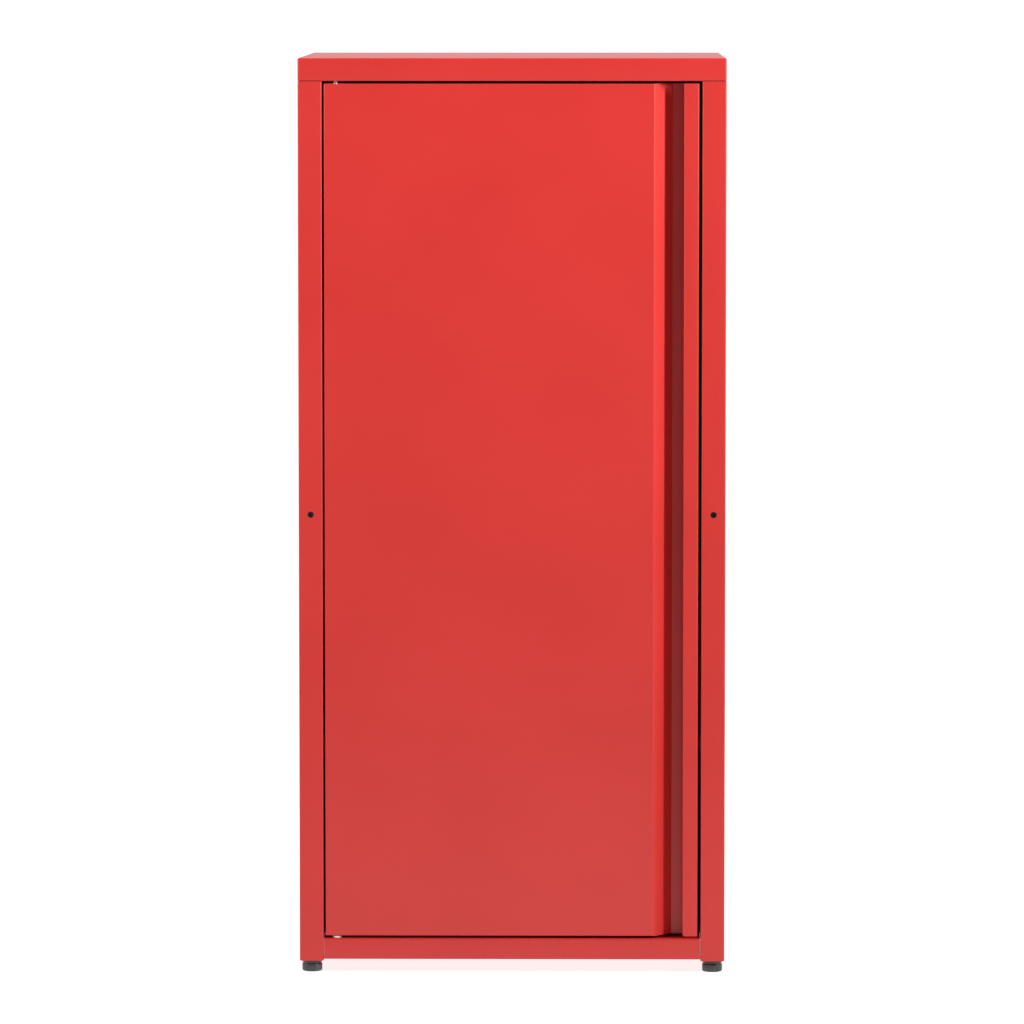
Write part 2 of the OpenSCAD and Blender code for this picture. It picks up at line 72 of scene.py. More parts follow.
# Case
POST_DEPTH = 38 * MM     # depth of the posts' box section
POST_LAP = 4 * MM        # space between a post's turned-in edge and the wall
POST_HOLE_RADIUS = 3.1 * MM
CORNER_IN = 1.4 * MM     # cut corner at a post's lower end, towards the door
CORNER_OUT = 1 * MM      # the same on the outer side
CORNER_DEPTH = 3 * MM    # how far the cut corners run back
FLANGE = 16 * MM         # flanges that the screws go through
CAP_FRONT_LIP = 34 * MM  # lip under the top panel's front edge
CAP_LIP = 14 * MM        # lips under its other edges
RAIL_LIP = 14 * MM       # lip under the bottom rail
REAR_EDGE_RISE = 4 * MM  # height of the floor's rear edge above the rail's lower edge
BACK_FLANGE = 15 * MM    # flanges at the back panel's sides
BACK_LAP = 1.5 * MM      # how far the back panel reaches below its CAD node, behind the floor
BACK_SCREW_ROWS = (0, 220 / 670, 450 / 670, 1)  # places of its screws, from the lowest to the highest
SHELF_LIP = 10 * MM      # lips under the shelf's front and rear edges
SHELF_SIDE_LIP = 8 * MM  # lips under its sides
PEG_ROWS = 5             # peg heights in each post
PEG_PITCH = 64 * MM      # distance between them
PEG_RADIUS = 2.5 * MM
STOP_SHEET = 1.2 * MM    # thickness of the door stops' angles
STOP_BEND = 2 * MM
STOP_HEIGHT = 16 * MM
STOP_LEG = 14 * MM

# Door
LIP_WIDTH = 14 * MM      # flush strip right of the finger channel
CHANNEL_WIDTH = 28 * MM  # the finger channel's open mouth
RIM = 15 * MM            # rim behind the door
HEM_WIDTH = 9 * MM       # strip folded back behind the lip
HEM_GAP = 1.6 * MM       # space inside the hem
LIP_CORNER = 1.2 * MM    # cut corners at the lip's lower end
STIFFENER_FOOT = 12 * MM

# Hinge
PIN_RADIUS = 2 * MM
PIN_HEAD = 1.8 * MM      # height of a pin's head
BORE_RADIUS = 2.05 * MM  # bore of the bushes and the washer
BUSH_RADIUS = 3.6 * MM
BUSH_FLANGE = 1.5 * MM   # thickness of a bush's flange
PLATE_CORNER = 2 * MM    # corner radius of the steel plates

# Fasteners and feet
SCREW_HEAD_RADIUS = 4 * MM
SCREW_HEAD_HEIGHT = 2 * MM
SCREW_RADIUS = 2 * MM
RIVET_HEAD_RADIUS = 2.8 * MM
RIVET_HEAD_HEIGHT = 1 * MM
RIVET_RADIUS = 1.5 * MM
STUD_RADIUS = 4 * MM

# Studio. Distances are in metres, angles in degrees and lamp powers in watts.
WORLD_FRONT, WORLD_REST = 0.05, 0.8  # the world's brightness in front of the object, and elsewhere
FLOOR_HALF = 400
FLOOR_DEEP = 0.01
GLOW_FRONT, GLOW_REST = 0.35, 0.84   # the floor's glow far in front of the object, and elsewhere
GLOW_FADE_Y = (-1.7, -0.6)           # where the glow goes from one to the other
KEY_ANGLE, KEY_POWER = 63, 16        # the right lamp, measured from straight ahead
FILL_ANGLE, FILL_POWER = 66, 10.5    # the left lamp
LAMP_DISTANCE = 2.9
LAMP_HEIGHT = 1.9
LAMP_SIZE = (0.22, 1.4)
LAMP_BEAM = 55
LAMP_AIM_X = 0.1
LAMP_AIM_HEIGHT = 1.25               # in heights of the cabinet

# Camera
CAMERA_DISTANCE = 6.0
CAMERA_ABOVE_TOP = 0.092
CAMERA_RIGHT = 0.0691
CAMERA_AIM = 0.5067                  # in heights of the cabinet
SEEN_WIDTH = 0.9592                  # width of the view at the cabinet's front
SENSOR_WIDTH = 36                    # in millimetres, like the lens
CLIP = (0.05, 600)


# ---------------------------------------------------------------- outlines

def folded(path, side, thick=SHEET, radius=BEND):
    """Outline of a folded sheet whose outer face follows path. side is +1 if the sheet is on its left."""
    points = [Vector(p) for p in path]
    near, far = [], []
    first = (points[1] - points[0]).normalized()
    near.append(points[0])
    far.append(points[0] + side * thick * left_of(first))
    for before, here, after in zip(points, points[1:], points[2:]):
        a = (here - before).normalized()
        b = (after - here).normalized()
        turn = math.copysign(1, a.x * b.y - a.y * b.x)
        angle = a.angle(b)
        near_r = radius if turn == side else radius - thick
        far_r = radius - thick if turn == side else radius
        inward = turn * left_of(a)
        centre = here - a * near_r * math.tan(angle / 2) + inward * near_r
        for k in range(BEND_STEPS + 1):
            spoke = Matrix.Rotation(turn * angle * k / BEND_STEPS, 2) @ inward
            near.append(centre - spoke * near_r)
            far.append(centre - spoke * far_r)
    last = (points[-1] - points[-2]).normalized()
    near.append(points[-1])
    far.append(points[-1] + side * thick * left_of(last))
    return [tuple(p) for p in near + far[::-1]]


def left_of(v):
    """v turned left by a right angle."""
    return Vector((-v.y, v.x))


def rounded_rectangle(x0, x1, y0, y1, radius):
    """Points round a rectangle with round corners, anticlockwise from its right side."""
    centres = [
        (x1 - radius, y1 - radius), (x0 + radius, y1 - radius),
        (x0 + radius, y0 + radius), (x1 - radius, y0 + radius),
    ]
    points = []
    for quarter, (cx, cy) in enumerate(centres):
        for k in range(CORNER_STEPS + 1):
            angle = math.pi / 2 * (quarter + k / CORNER_STEPS)
            points.append((cx + radius * math.cos(angle), cy + radius * math.sin(angle)))
    return points


def circle(radius, steps):
    """Points round the origin."""
    return [
        (radius * math.cos(FULL_TURN * k / steps), radius * math.sin(FULL_TURN * k / steps))
        for k in range(steps)
    ]


# ---------------------------------------------------------------- shapes: (vertices, faces)

def skin(loops, ring=False):
    """Surface through loops of equally many points, closed by end caps or back to its first loop."""
    count = len(loops[0])
    verts = [tuple(p) for loop in loops for p in loop]
    faces = []
    pairs = list(zip(range(len(loops) - 1), range(1, len(loops))))
    if ring:
        pairs.append((len(loops) - 1, 0))
    for low, high in pairs:
        for k in range(count):
            after = (k + 1) % count
            faces.append((low * count + k, low * count + after, high * count + after, high * count + k))
    if not ring:
        faces.append(tuple(range(count))[::-1])
        faces.append(tuple(range((len(loops) - 1) * count, len(loops) * count)))
    return verts, faces


def upright(outline, low, high):
    """Outline in x and y, extruded along Z."""
    return skin([[(x, y, z) for x, y in outline] for z in (low, high)])


def crosswise(outline, low, high):
    """Outline in y and z, extruded along X."""
    return skin([[(x, y, z) for y, z in outline] for x in (low, high)])


def turned(profile, steps=40, ring=False):
    """Profile of (radius, height) points turned round Z."""
    return skin([[(x, y, z) for x, y in circle(r, steps)] for r, z in profile], ring=ring)


def box_shape(low, high):
    """Box from its lowest corner to its highest."""
    return upright([(low[0], low[1]), (high[0], low[1]), (high[0], high[1]), (low[0], high[1])],
                   low[2], high[2])


def hexagon_ring(flat, z, steps):
    """Points round a hexagon that measures 2 * flat across its flats."""
    ring = []
    for k in range(steps):
        angle = FULL_TURN * k / steps
        offset = (angle + math.pi / 6) % (math.pi / 3) - math.pi / 6
        radius = flat / math.cos(offset)
        ring.append((radius * math.cos(angle), radius * math.sin(angle), z))
    return ring


def placed(shape, spot, direction=(0, 0, 1)):
    """Shape with its +Z turned to direction and its origin moved to spot."""
    turn = Vector((0, 0, 1)).rotation_difference(Vector(direction)).to_matrix()
    verts, faces = shape
    return [tuple(turn @ Vector(v) + Vector(spot)) for v in verts], faces


def mirrored(shape, across_x, across_y=False):
    """Shape mirrored left to right, front to back, or both."""
    sx = -1 if across_x else 1
    sy = -1 if across_y else 1
    verts, faces = shape
    verts = [(sx * x, sy * y, z) for x, y, z in verts]
    if sx * sy < 0:
        faces = [face[::-1] for face in faces]
    return verts, faces


def together(shapes):
    """Several separate shapes as one."""
    verts, faces = [], []
    for more_verts, more_faces in shapes:
        start = len(verts)
        verts += more_verts
        faces += [tuple(start + i for i in face) for face in more_faces]
    return verts, faces


def both_sides(shapes):
    """Shapes made for the left side, with their mirror images on the right."""
    return together(shapes + [mirrored(shape, True) for shape in shapes])


def at_corners(shape):
    """Four copies of a shape made for the rear right corner."""
    return together([mirrored(shape, mx, my) for mx in (False, True) for my in (False, True)])


# ---------------------------------------------------------------- fasteners and turned parts

def thread(radius, depth, pitch, low, high, steps, rows=5):
    """Loops of a helical thread from low to high, plain at both ends, with rows loops in each turn."""
    count = max(2, round((high - low) / pitch * rows))
    loops = []
    for row in range(count + 1):
        z = low + (high - low) * row / count
        fade = min(1, row / rows, (count - row) / rows)
        loop = []
        for k in range(steps):
            phase = (z / pitch - k / steps) % 1
            r = radius - depth * fade * abs(2 * phase - 1)
            angle = FULL_TURN * k / steps
            loop.append((r * math.cos(angle), r * math.sin(angle), z))
        loops.append(loop)
    return loops


def screw(length):
    """Pan-head screw along -Z with a hexagon socket; its head's underside is at z = 0."""
    head_radius, head_height, shank_radius = SCREW_HEAD_RADIUS, SCREW_HEAD_HEIGHT, SCREW_RADIUS
    steps = 36
    socket = 0.38 * head_radius
    loops = thread(shank_radius, 0.35 * MM, 1.2 * MM, -length + 0.8 * MM, -0.1 * MM, steps)
    tip = [(x, y, -length) for x, y in circle(0.6 * shank_radius, steps)]
    rounds = [
        (shank_radius, 0), (head_radius - 0.1 * MM, 0), (head_radius, 0.15 * MM),
        (head_radius, 0.35 * head_height), (0.95 * head_radius, 0.62 * head_height),
        (0.82 * head_radius, 0.86 * head_height), (0.64 * head_radius, head_height),
        (0.52 * head_radius, head_height),
    ]
    head = [[(x, y, z) for x, y in circle(r, steps)] for r, z in rounds]
    recess = [
        hexagon_ring(socket, head_height - 0.15 * MM, steps),
        hexagon_ring(socket, 0.35 * head_height, steps),
        hexagon_ring(0.5 * socket, 0.3 * head_height, steps),
    ]
    return skin([tip] + loops + head + recess)


def rivet(length):
    """Blind rivet along -Z: a low dome with the hollow left by its mandrel."""
    head_radius, head_height, shank_radius = RIVET_HEAD_RADIUS, RIVET_HEAD_HEIGHT, RIVET_RADIUS
    hollow = 0.8 * MM
    return turned([
        (shank_radius - 0.3 * MM, -length), (shank_radius, -length + 0.3 * MM), (shank_radius, 0),
        (head_radius - 0.1 * MM, 0), (head_radius, 0.12 * head_height),
        (0.94 * head_radius, 0.4 * head_height), (0.78 * head_radius, 0.75 * head_height),
        (0.58 * head_radius, head_height), (hollow + 0.1 * MM, head_height),
        (hollow, 0.9 * head_height), (hollow, 0.35 * head_height),
    ], 28)


def flanged_bush(radius, top):
    """Bush along +Z, with its flange at the top."""
    soft = 0.25 * MM
    sleeve = top - BUSH_FLANGE
    return turned([
        (BORE_RADIUS, soft), (BORE_RADIUS + soft, 0), (BUSH_RADIUS - soft, 0),
        (BUSH_RADIUS, soft), (BUSH_RADIUS, sleeve), (radius - soft, sleeve),
        (radius, sleeve + soft), (radius, top - soft),
        (radius - soft, top), (BORE_RADIUS + soft, top), (BORE_RADIUS, top - soft),
    ], ring=True)


def headed_pin(radius, length):
    """Pin along +Z from a head that starts at z = 0, with a chamfered end."""
    soft = 0.3 * MM
    return turned([
        (radius - 2 * soft, 0), (radius, soft), (radius, PIN_HEAD - soft),
        (radius - soft, PIN_HEAD), (PIN_RADIUS, PIN_HEAD), (PIN_RADIUS, length - 2 * soft),
        (PIN_RADIUS - 2 * soft, length),
    ])


# ---------------------------------------------------------------- objects

def make_object(name, shape):
    """A mesh object from a shape, with its doubled points merged and its faces turned outwards."""
    mesh = bpy.data.meshes.new(name)
    mesh.from_pydata(shape[0], [], shape[1])
    work = bmesh.new()
    work.from_mesh(mesh)
    bmesh.ops.remove_doubles(work, verts=work.verts, dist=1e-7)
    bmesh.ops.recalc_face_normals(work, faces=work.faces)
    work.to_mesh(mesh)
    work.free()
    made = bpy.data.objects.new(name, mesh)
    bpy.context.scene.collection.objects.link(made)
    return made


def combine(target, shape, operation):
    """Joins a shape to target, or cuts it out, by an exact boolean."""
    tool = make_object("tool", shape)
    step = target.modifiers.new("step", "BOOLEAN")
    step.operation = operation
    step.solver = "EXACT"
    step.object = tool
    view = bpy.context.evaluated_depsgraph_get()
    view.update()
    result = bpy.data.meshes.new_from_object(target.evaluated_get(view))
    target.modifiers.clear()
    old = target.data
    target.data = result
    bpy.data.meshes.remove(old)
    bpy.data.objects.remove(tool)


def clean(target):
    """Merges close points and coplanar faces that the booleans leave, and deletes any loose face."""
    near = 0.02 * MM
    work = bmesh.new()
    work.from_mesh(target.data)
    bmesh.ops.remove_doubles(work, verts=work.verts, dist=near)
    bmesh.ops.dissolve_degenerate(work, edges=work.edges, dist=near)
    bmesh.ops.dissolve_limit(work, verts=work.verts, edges=work.edges, angle_limit=math.radians(0.2))
    loose = [face for face in work.faces if all(edge.is_boundary for edge in face.edges)]
    bmesh.ops.delete(work, geom=loose, context="FACES")
    bmesh.ops.recalc_face_normals(work, faces=work.faces)
    work.to_mesh(target.data)
    work.free()


def soften(target, width, smooth_degrees):
    """Smooth shading across the bends, and a small round along every hard edge."""
    target.data.shade_smooth()
    target.data.set_sharp_from_angle(angle=math.radians(smooth_degrees))
    if width:
        edge = target.modifiers.new("soft_edges", "BEVEL")
        edge.width = width
        edge.segments = 2
        edge.limit_method = "ANGLE"
        edge.angle_limit = math.radians(smooth_degrees)
        edge.harden_normals = True


def stands_for(target, node):
    """The piece takes a CAD node's place, body, slot and material."""
    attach(target, NODE_BODY[node])
    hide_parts(node)
    target.data.materials.clear()
    target.data.materials.append(MATERIALS[NODE_SLOT[node]])


def part(node, suffix, shape, joins=(), cuts=(), edge=0.2 * MM, smooth_degrees=40):
    """A finished piece that replaces one CAD node, named after it."""
    target = make_object(f"{node}_{suffix}", shape)
    for extra in joins:
        combine(target, extra, "UNION")
    for waste in cuts:
        combine(target, waste, "DIFFERENCE")
    if joins or cuts:
        clean(target)
    soften(target, edge, smooth_degrees)
    stands_for(target, node)
    return target


# ---------------------------------------------------------------- materials

def principled(name):
    """A new material, its nodes and links, and its Principled shader."""
    made = bpy.data.materials.new(name)
    made.use_nodes = True
    nodes = made.node_tree.nodes
    return made, nodes, made.node_tree.links, nodes["Principled BSDF"]


def noise(nodes, links, scale, detail, stretch=(1, 1, 1)):
    """Noise in the piece's own space; stretch over 1 makes it finer along that axis."""
    place = nodes.new("ShaderNodeTexCoord")
    mapping = nodes.new("ShaderNodeMapping")
    mapping.inputs["Scale"].default_value = stretch
    texture = nodes.new("ShaderNodeTexNoise")
    texture.inputs["Scale"].default_value = scale
    texture.inputs["Detail"].default_value = detail
    links.new(place.outputs["Object"], mapping.inputs["Vector"])
    links.new(mapping.outputs["Vector"], texture.inputs["Vector"])
    return texture.outputs["Fac"]


def tint(nodes, links, source, dark, light):
    """Colour that a noise value takes from dark to light."""
    ramp = nodes.new("ShaderNodeValToRGB")
    ends = ramp.color_ramp.elements
    ends[0].position, ends[1].position = 0.35, 0.65
    ends[0].color, ends[1].color = (*dark, 1), (*light, 1)
    links.new(source, ramp.inputs["Fac"])
    return ramp.outputs["Color"]


def remap(nodes, links, source, old, new):
    """Maps a value from the range old to the range new."""
    ranged = nodes.new("ShaderNodeMapRange")
    ranged.inputs["From Min"].default_value, ranged.inputs["From Max"].default_value = old
    ranged.inputs["To Min"].default_value, ranged.inputs["To Max"].default_value = new
    links.new(source, ranged.inputs["Value"])
    return ranged.outputs["Result"]


def spread(nodes, links, source, low, high):
    """Maps a noise value to the range low to high."""
    return remap(nodes, links, source, (0.3, 0.7), (low, high))


def bump(nodes, links, source, height, strength, under=None):
    """Normal from a height map, laid over the normal under it if there is one."""
    made = nodes.new("ShaderNodeBump")
    made.inputs["Strength"].default_value = strength
    made.inputs["Distance"].default_value = height
    links.new(source, made.inputs["Height"])
    if under is not None:
        links.new(under, made.inputs["Normal"])
    return made.outputs["Normal"]


def thin_paint_and_sheen_on_edges(nodes, links, body, thin_paint_and_sheen_colour):
    """The body colour, going over to another one within a millimetre of a hard edge: partly the thinner
    paint there, partly a painted highlight along the edge.
    """
    true_normal = nodes.new("ShaderNodeNewGeometry")
    rounded = nodes.new("ShaderNodeBevel")
    rounded.samples = 4
    rounded.inputs["Radius"].default_value = 1 * MM
    agreement = nodes.new("ShaderNodeVectorMath")
    agreement.operation = "DOT_PRODUCT"
    mix = nodes.new("ShaderNodeMixRGB")
    mix.inputs["Color2"].default_value = (*thin_paint_and_sheen_colour, 1)
    links.new(true_normal.outputs["Normal"], agreement.inputs[0])
    links.new(rounded.outputs["Normal"], agreement.inputs[1])
    edges = remap(nodes, links, agreement.outputs["Value"], (0.99, 0.8), (0, 1))
    links.new(edges, mix.inputs["Fac"])
    links.new(body, mix.inputs["Color1"])
    return mix.outputs["Color"]


def powder_coat():
    """Satin red powder coat: orange peel, fine grain, the slow waves of thin sheet, and lighter edges that
    are partly thinner paint and partly a painted highlight.
    """
    made, nodes, links, shader = principled("red_powder_coat")
    patches = noise(nodes, links, 7, 4)
    peel = noise(nodes, links, 620, 2)
    grain = noise(nodes, links, 2600, 1)
    waves = noise(nodes, links, 4.5, 1, (1, 1, 0.45))
    body = tint(nodes, links, patches, (0.540, 0.0235, 0.0185), (0.570, 0.0265, 0.0215))
    # Lighter colour along the hard edges: partly thinner paint, partly a painted highlight.
    links.new(thin_paint_and_sheen_on_edges(nodes, links, body, (0.64, 0.050, 0.042)), shader.inputs["Base Color"])
    links.new(spread(nodes, links, grain, 0.30, 0.38), shader.inputs["Roughness"])
    slow = bump(nodes, links, waves, 0.5 * MM, 0.15)
    fine = bump(nodes, links, peel, 0.02 * MM, 0.3, slow)
    links.new(bump(nodes, links, grain, 0.005 * MM, 0.3, fine), shader.inputs["Normal"])
    shader.inputs["IOR"].default_value = 1.52
    return made


def zinc():
    """Bright zinc plate: faint blue and straw clouds over a fine drawn grain."""
    made, nodes, links, shader = principled("zinc_plate")
    clouds = noise(nodes, links, 160, 4)
    drawn = noise(nodes, links, 900, 3, (1, 1, 0.12))
    links.new(tint(nodes, links, clouds, (0.52, 0.55, 0.60), (0.70, 0.68, 0.62)),
              shader.inputs["Base Color"])
    links.new(spread(nodes, links, drawn, 0.24, 0.42), shader.inputs["Roughness"])
    links.new(bump(nodes, links, drawn, 0.02 * MM, 0.3), shader.inputs["Normal"])
    shader.inputs["Metallic"].default_value = 1.0
    return made


def nylon():
    """Natural nylon, a little translucent."""
    made, nodes, links, shader = principled("white_nylon")
    clouds = noise(nodes, links, 240, 3)
    grain = noise(nodes, links, 1800, 2)
    links.new(tint(nodes, links, clouds, (0.76, 0.75, 0.71), (0.86, 0.85, 0.82)),
              shader.inputs["Base Color"])
    links.new(spread(nodes, links, grain, 0.36, 0.5), shader.inputs["Roughness"])
    links.new(bump(nodes, links, grain, 0.02 * MM, 0.3), shader.inputs["Normal"])
    shader.inputs["Subsurface Weight"].default_value = 0.1
    shader.inputs["Subsurface Scale"].default_value = 1.5 * MM
    return made


def moulded(name, dark, light, rough, height):
    """Moulded plastic or rubber with a fine spark-eroded grain."""
    made, nodes, links, shader = principled(name)
    clouds = noise(nodes, links, 120, 4)
    grain = noise(nodes, links, 1400, 3)
    links.new(tint(nodes, links, clouds, dark, light), shader.inputs["Base Color"])
    links.new(spread(nodes, links, grain, rough - 0.07, rough + 0.07), shader.inputs["Roughness"])
    links.new(bump(nodes, links, grain, height, 0.5), shader.inputs["Normal"])
    return made


MATERIALS = {
    "red_powder_coat": powder_coat(),
    "zinc_plate": zinc(),
    "white_nylon": nylon(),
    "black_plastic": moulded(
        "black_plastic", (0.012, 0.012, 0.013), (0.024, 0.024, 0.026), 0.5, 0.03 * MM),
    "magnet_ferrite": moulded(
        "magnet_ferrite", (0.035, 0.035, 0.038), (0.07, 0.068, 0.066), 0.7, 0.06 * MM),
    "pale_rubber": moulded(
        "pale_rubber", (0.62, 0.62, 0.59), (0.74, 0.74, 0.71), 0.6, 0.02 * MM),
    "black_foot_plastic": moulded(
        "black_foot_plastic", (0.028, 0.026, 0.027), (0.06, 0.057, 0.058), 0.42, 0.03 * MM),
}


# ---------------------------------------------------------------- main planes, from the frame

cap_low, cap_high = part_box("top_panel")
side_low, side_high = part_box("left_side_panel")
base_low, base_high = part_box("base_panel")
door_low, door_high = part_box("door_skin")
HALF_WIDTH = cap_high.x
FRONT, BACK = cap_low.y, cap_high.y
CAP_Z, TOP_Z = cap_low.z, cap_high.z
POST_LOW, POST_HIGH = side_low.z, side_high.z
POST_IN = -side_high.x
WALL_IN = HALF_WIDTH - SHEET
FRONT_POST_END = FRONT + POST_DEPTH
REAR_POST_END = BACK - POST_DEPTH
RAIL_Z, FLOOR_Z = base_low.z, base_high.z


def middle(node):
    """Middle of a CAD node's box."""
    low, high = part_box(node)
    return (low + high) / 2


def hole(spot, radius, length, direction=(0, 0, 1), steps=28):
    """Cylinder centred on spot, for cutting."""
    rod = turned([(radius, -length / 2), (radius, length / 2)], steps)
    return placed(rod, spot, direction)


# ---------------------------------------------------------------- case

def rounded_tray(low, high, side_lip, front_lip, rear_lip):
    """Folded tray, open below, with round edges and a lip turned in under each edge."""
    inner = BEND - SHEET
    turns = [math.pi / 2 * k / BEND_STEPS for k in range(BEND_STEPS + 1)]

    def loop(inset, z, corner):
        least = 0.05 * MM
        return [(x, y, z) for x, y in rounded_rectangle(
            low.x + inset, high.x - inset, low.y + inset, high.y - inset, max(corner, least))]

    def lip_edge(z):
        return [(x, y, z) for x, y in rounded_rectangle(
            low.x + side_lip, high.x - side_lip, low.y + front_lip, high.y - rear_lip, inner)]

    def bend(start, z, curve, upper):
        """Loops round one bend, from the flat face towards the wall."""
        loops = []
        for turn in turns:
            inset = curve * (1 - math.sin(turn))
            drop = curve * (1 - math.cos(turn))
            loops.append(loop(start + inset, z - drop if upper else z + drop, curve - inset))
        return loops

    outside = bend(0, high.z, BEND, True) + bend(0, low.z, BEND, False)[::-1]
    inside = bend(SHEET, low.z + SHEET, inner, False) + bend(SHEET, high.z - SHEET, inner, True)[::-1]
    return skin(outside + [lip_edge(low.z), lip_edge(low.z + SHEET)] + inside)


def top_panel():
    """Top with turned-down edges, and a hole for each of the upper hinge bush and its spare plug."""
    deep = 4 * MM
    cuts = []
    for node in ("upper_hinge_bush", "spare_hinge_plugs"):
        spot = middle(node)
        cuts.append(hole((spot.x, spot.y, CAP_Z), BUSH_RADIUS, deep))
    tray = rounded_tray(cap_low, cap_high, CAP_LIP, CAP_FRONT_LIP, CAP_LIP)
    part("top_panel", "folded", tray, cuts=cuts)


def side_panel(node, right):
    """Side wall with a box-section post at each end; made for the left, mirrored for the right."""
    turned_in = -WALL_IN + POST_LAP
    outline = folded([
        (turned_in, FRONT_POST_END), (-POST_IN, FRONT_POST_END), (-POST_IN, FRONT),
        (-HALF_WIDTH, FRONT), (-HALF_WIDTH, BACK), (-POST_IN, BACK),
        (-POST_IN, REAR_POST_END), (turned_in, REAR_POST_END),
    ], -1)
    wall = -WALL_IN - SHEET / 2
    ledges = [
        box_shape((wall, FRONT_POST_END + SEAM, z - SHEET), (-WALL_IN + FLANGE, REAR_POST_END - SEAM, z))
        for z in (POST_HIGH, FLOOR_Z - SHEET - SEAM)
    ]
    plug = middle("post_hole_plugs")
    stud = middle("front_left_foot_stud")
    cuts = [hole((stud.x, FRONT, plug.z), POST_HOLE_RADIUS, THROUGH, (0, 1, 0), 40)]
    cuts += peg_holes() + post_chamfers()
    wall_and_posts = upright(outline, POST_LOW, POST_HIGH)
    if right:
        wall_and_posts = mirrored(wall_and_posts, True)
        ledges = [mirrored(shape, True) for shape in ledges]
        cuts = [mirrored(shape, True) for shape in cuts]
    part(node, "folded", wall_and_posts, ledges, cuts, 0.3 * MM)


def peg_holes():
    """Rows of holes in the posts' inner faces, spaced evenly round the pegs' own height."""
    low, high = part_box("shelf_pegs")
    head = (high.z - low.z) / 2
    middle_z = (low.z + high.z) / 2
    return [
        hole((-POST_IN, y, middle_z + (k - PEG_ROWS // 2) * PEG_PITCH), PEG_RADIUS, THROUGH, (1, 0, 0))
        for y in (low.y + head, high.y - head)
        for k in range(PEG_ROWS)
    ]


def post_chamfers():
    """Small cut corners at the lower end of each post."""
    return [
        diamond(x, POST_LOW, size, y0, y1)
        for x, size in ((-POST_IN, CORNER_IN), (-HALF_WIDTH, CORNER_OUT))
        for y0, y1 in ((FRONT - OVER, FRONT + CORNER_DEPTH), (BACK - CORNER_DEPTH, BACK + OVER))
    ]


def diamond(x, z, size, y0, y1):
    """Square bar on its edge along Y, for cutting a corner."""
    ring = [(x - size, z), (x, z - size), (x + size, z), (x, z + size)]
    return skin([[(u, y, w) for u, w in ring] for y in (y0, y1)])


def back_panel():
    """Folded back with two wall-fixing holes. Its face runs down behind the floor's rear bend."""
    low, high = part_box("back_panel")
    outline = folded([
        (low.x, high.y - BACK_FLANGE), (low.x, high.y), (high.x, high.y), (high.x, high.y - BACK_FLANGE),
    ], -1)
    fixing = next(m for m in RECORD["mounts"] if m["name"] == "wall_fixing")
    half = fixing["dims"]["spacing_x_mm"] * MM / 2
    radius = fixing["dims"]["hole_r_mm"] * MM
    x, y, z = fixing["pos_m"]
    cuts = [hole((x + side * half, y, z), radius, THROUGH, (0, 1, 0)) for side in (-1, 1)]
    corner = box_shape((low.x - OVER, low.y - OVER, low.z - BACK_LAP - OVER),
                       (low.x + BEND, high.y + OVER, low.z))
    cuts += [corner, mirrored(corner, True)]
    part("back_panel", "folded", upright(outline, low.z - BACK_LAP, high.z), cuts=cuts)


def base_panel():
    """Bottom rail, floor and rear edge in one folded sheet, with its corners cut out round the posts."""
    rear = BACK - SHEET - 2 * SEAM
    outline = folded([
        (FRONT + RAIL_LIP, RAIL_Z), (FRONT, RAIL_Z), (FRONT, FLOOR_Z),
        (rear, FLOOR_Z), (rear, RAIL_Z + REAR_EDGE_RISE),
    ], -1)
    notch = box_shape((POST_IN - 1.5 * SEAM, REAR_POST_END - SEAM, RAIL_Z - OVER),
                      (HALF_WIDTH, BACK + OVER, FLOOR_Z + OVER))
    part("base_panel", "folded", crosswise(outline, base_low.x, base_high.x), cuts=[at_corners(notch)])


def hinge_plates():
    """Steel plates round the hinge line, in the case and in the door."""
    pin = middle("upper_hinge_pin")
    plates = (
        ("upper_hinge_plate", BUSH_RADIUS), ("lower_hinge_plate", PIN_RADIUS),
        ("upper_door_plate", PIN_RADIUS), ("lower_door_plate", BUSH_RADIUS),
    )
    for node, radius in plates:
        low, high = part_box(node)
        outline = rounded_rectangle(low.x, high.x, low.y, high.y, PLATE_CORNER)
        part(node, "pressed", upright(outline, low.z, high.z),
             cuts=[hole((pin.x, pin.y, low.z), radius, THROUGH)], edge=0.25 * MM)


def on_hinge_line(node, suffix, make):
    """A turned piece on the hinge line. make gives its shape from its radius and height."""
    low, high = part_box(node)
    spot = middle(node)
    shape = make((high.x - low.x) / 2, high.z - low.z)
    part(node, suffix, placed(shape, (spot.x, spot.y, low.z)), edge=0)


def washer(outer, tall):
    """Washer along +Z with rounded edges."""
    soft = 0.4 * MM
    return turned([
        (BORE_RADIUS, soft), (BORE_RADIUS + soft, 0), (outer - soft, 0), (outer, soft),
        (outer, tall - soft), (outer - soft, tall), (BORE_RADIUS + soft, tall), (BORE_RADIUS, tall - soft),
    ], 48, ring=True)


def hinge_parts():
    """Pins, bushes and washer on the hinge line."""
    for node in ("upper_hinge_pin", "lower_hinge_pin"):
        on_hinge_line(node, "turned", headed_pin)
    for node in ("upper_hinge_bush", "lower_hinge_bush"):
        on_hinge_line(node, "moulded", flanged_bush)
    on_hinge_line("lower_hinge_washer", "moulded", washer)


